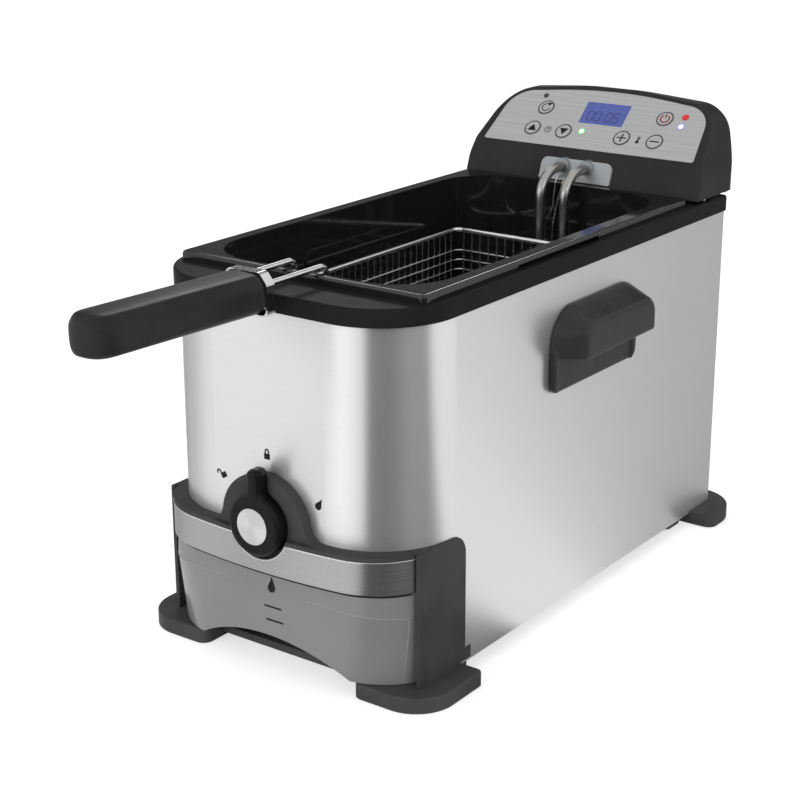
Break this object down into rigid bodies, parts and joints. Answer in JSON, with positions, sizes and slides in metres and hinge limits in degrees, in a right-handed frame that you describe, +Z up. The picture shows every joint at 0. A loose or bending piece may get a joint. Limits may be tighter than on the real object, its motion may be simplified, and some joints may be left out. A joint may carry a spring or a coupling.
{
  "type": "deep fryer",
  "caption": "Countertop deep fryer: steel housing, lift-out bowl and basket, control head with heater, drain knob and pull-out oil container.",
  "frame": {"origin": "middle of the footprint of the whole fryer, basket handle included, on the surface it stands on", "axes": "+X to the right seen from the front, +Y from the basket handle at the front to the control head at the back, +Z up"},
  "size_m": [0.268, 0.6324, 0.3501],
  "materials": {
    "housing_steel": "fine horizontal brushing",
    "band_steel": "brushed, darker",
    "rim_plastic": "fine grain",
    "frame_plastic": "satin",
    "base_plastic": "satin",
    "pad_rubber": "matt",
    "screw_steel": "zinc plated",
    "deck_steel": "rolled sheet",
    "valve_brass": "machined",
    "seal_rubber": "silicone",
    "bush_plastic": "natural",
    "side_handle_plastic": "satin",
    "knob_plastic": "satin",
    "knob_metal": "spun",
    "shaft_steel": "turned",
    "container_plastic": "smoked, slightly see-through look",
    "lid_plastic": "satin",
    "screen_steel": "punched sheet",
    "bowl_enamel": "glossy enamel",
    "basket_wire": "nickel plated",
    "handle_chrome": "bright",
    "grip_plastic": "fine grain",
    "head_plastic": "fine grain",
    "head_base_plastic": "plain",
    "plate_metal": "brushed along its length",
    "key_face": "printed film",
    "display_glass": "lit blue",
    "display_body": "plain",
    "board_green": "solder mask",
    "lamp_dark": "unlit",
    "lamp_green": "lit",
    "lamp_red": "lit",
    "lamp_white": "lit",
    "bracket_metal": "satin",
    "element_steel": "satin tube",
    "clip_steel": "plain strip",
    "bulb_copper": "copper tone",
    "inlet_plastic": "plain",
    "pin_brass": "bright",
    "switch_plastic": "plain"
  },
  "bodies": {
    "housing": {"housing_wrap": "housing_steel", "top_rim": "rim_plastic", "front_frame": "frame_plastic", "front_band": "band_steel", "base_frame": "base_plastic", "foot_pads": "pad_rubber", "base_screws": "screw_steel", "inner_deck": "deck_steel", "valve_body": "valve_brass", "valve_gasket": "seal_rubber", "knob_bush": "bush_plastic", "handle_screws": "screw_steel", "side_handle_left": "side_handle_plastic", "side_handle_right": "side_handle_plastic"},
    "knob": {"filter_knob": "knob_plastic", "knob_cap": "knob_metal", "knob_shaft": "shaft_steel", "valve_plug": "valve_brass"},
    "drawer": {"oil_container": "container_plastic", "container_lid": "lid_plastic", "filter_screen": "screen_steel"},
    "bowl": {"oil_bowl": "bowl_enamel", "drain_strainer": "screen_steel"},
    "head": {"head_shell": "head_plastic", "head_floor": "head_base_plastic", "head_screws": "screw_steel", "control_plate": "plate_metal", "display_window": "display_glass", "display_module": "display_body", "control_board": "board_green", "lamp_change": "lamp_dark", "lamp_filter": "lamp_green", "lamp_power": "lamp_red", "lamp_ready": "lamp_white", "element_bracket": "bracket_metal", "heating_element": "element_steel", "element_clip": "clip_steel", "thermostat_bulbs": "bulb_copper", "capillary_wires": "bulb_copper", "power_inlet": "inlet_plastic", "inlet_pins": "pin_brass", "safety_switch": "switch_plastic"},
    "basket": {"basket_rim": "basket_wire", "basket_floor": "basket_wire", "basket_left": "basket_wire", "basket_right": "basket_wire", "basket_front": "basket_wire", "basket_rear": "basket_wire", "basket_bracket": "basket_wire"},
    "handle": {"handle_wires": "handle_chrome", "handle_ferrule": "handle_chrome", "handle_grip": "grip_plastic"},
    "key_reset": {"key_reset": "key_face"},
    "key_timer_up": {"key_timer_up": "key_face"},
    "key_timer_down": {"key_timer_down": "key_face"},
    "key_heat_up": {"key_heat_up": "key_face"},
    "key_heat_down": {"key_heat_down": "key_face"},
    "key_power": {"key_power": "key_face"}
  },
  "joints": [
    {"name": "knob_turn", "type": "hinge", "parent": "housing", "child": "knob", "pos_m": [0, -0.1583, 0.116], "axis": [0, 1, 0], "range_deg": [-60, 60]},
    {"name": "container_slide", "type": "slide", "parent": "housing", "child": "drawer", "axis": [0, -1, 0], "range_m": [0, 0.24]},
    {"name": "bowl_lift", "type": "slide", "parent": "housing", "child": "bowl", "axis": [0, 0, 1], "range_m": [0, 0.17]},
    {"name": "head_lift", "type": "slide", "parent": "bowl", "child": "head", "axis": [0, 0, 1], "range_m": [0, 0.16]},
    {"name": "basket_lift", "type": "slide", "parent": "head", "child": "basket", "axis": [0, 0, 1], "range_m": [0, 0.14]},
    {"name": "handle_fold", "type": "hinge", "parent": "basket", "child": "handle", "pos_m": [0, -0.1012, 0.25], "axis": [-1, 0, 0], "range_deg": [0, 90]},
    {"name": "key_reset_press", "type": "slide", "parent": "head", "child": "key_reset", "axis": [0, 0.6652, -0.7466], "range_m": [0, 0.0006], "stiffness_N_per_m": 400, "springref_m": -0.0005},
    {"name": "key_timer_up_press", "type": "slide", "parent": "head", "child": "key_timer_up", "axis": [0, 0.6652, -0.7466], "range_m": [0, 0.0006], "stiffness_N_per_m": 400, "springref_m": -0.0005},
    {"name": "key_timer_down_press", "type": "slide", "parent": "head", "child": "key_timer_down", "axis": [0, 0.6652, -0.7466], "range_m": [0, 0.0006], "stiffness_N_per_m": 400, "springref_m": -0.0005},
    {"name": "key_heat_up_press", "type": "slide", "parent": "head", "child": "key_heat_up", "axis": [0, 0.6652, -0.7466], "range_m": [0, 0.0006], "stiffness_N_per_m": 400, "springref_m": -0.0005},
    {"name": "key_heat_down_press", "type": "slide", "parent": "head", "child": "key_heat_down", "axis": [0, 0.6652, -0.7466], "range_m": [0, 0.0006], "stiffness_N_per_m": 400, "springref_m": -0.0005},
    {"name": "key_power_press", "type": "slide", "parent": "head", "child": "key_power", "axis": [0, 0.6652, -0.7466], "range_m": [0, 0.0006], "stiffness_N_per_m": 400, "springref_m": -0.0005}
  ]
}
